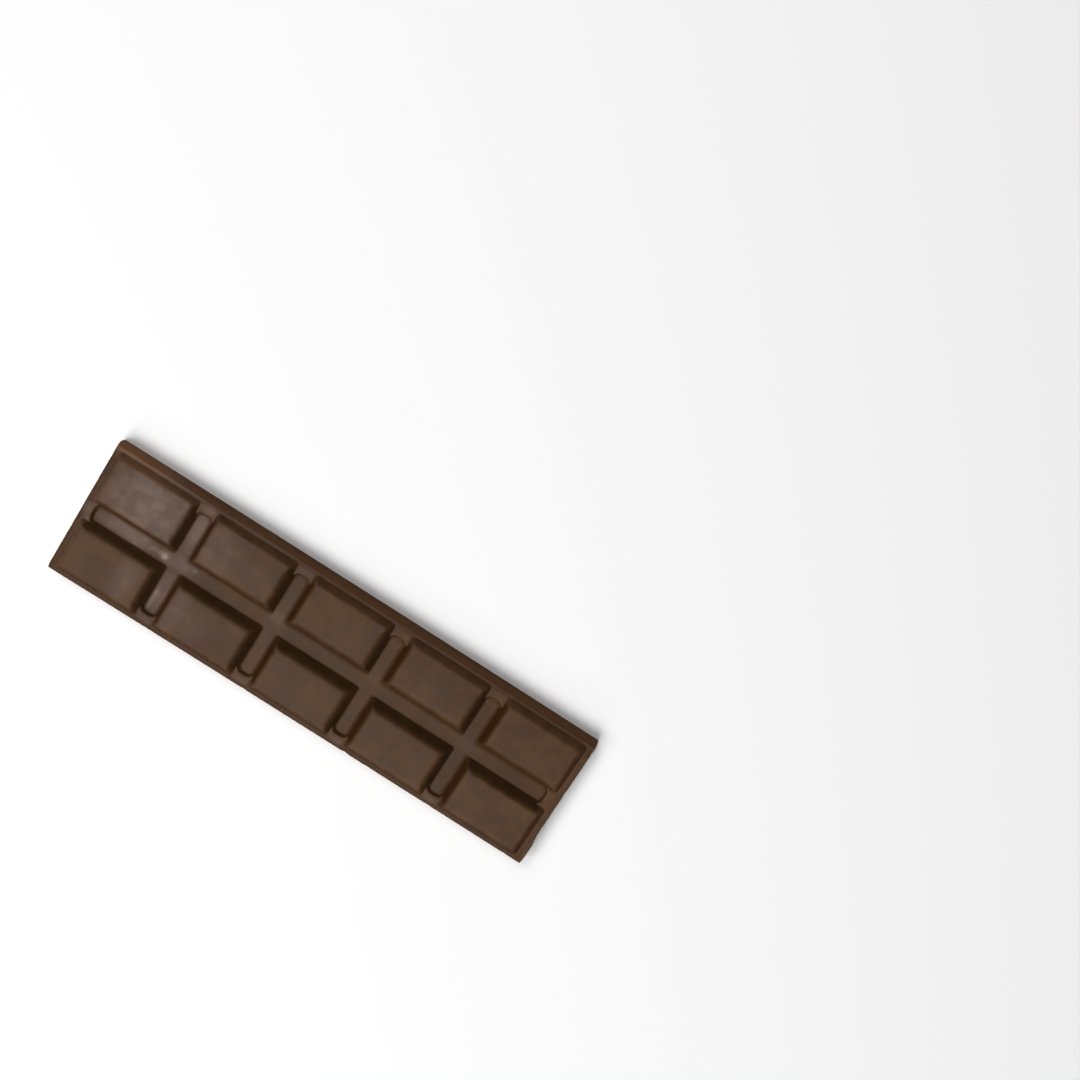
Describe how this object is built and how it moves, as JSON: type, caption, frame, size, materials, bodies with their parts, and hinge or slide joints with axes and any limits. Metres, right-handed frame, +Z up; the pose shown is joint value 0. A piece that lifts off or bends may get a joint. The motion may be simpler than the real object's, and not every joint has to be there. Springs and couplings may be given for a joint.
{
  "type": "chocolate bar",
  "caption": "Moulded milk chocolate bar: a thin plinth with drafted sides, a ledge round the edge, and rows of raised rectangular blocks between sunken snapping channels.",
  "frame": {"origin": "middle of the flat underside", "axes": "+X along the bar, +Y across it, +Z up from the underside to the blocks"},
  "size_m": [0.1422, 0.0376, 0.008],
  "materials": {
    "milk_chocolate": "satin milk chocolate, lighter and a little cloudy towards one end, with faint rub marks"
  },
  "bodies": {
    "root": {"bar": "milk_chocolate"}
  },
  "joints": []
}
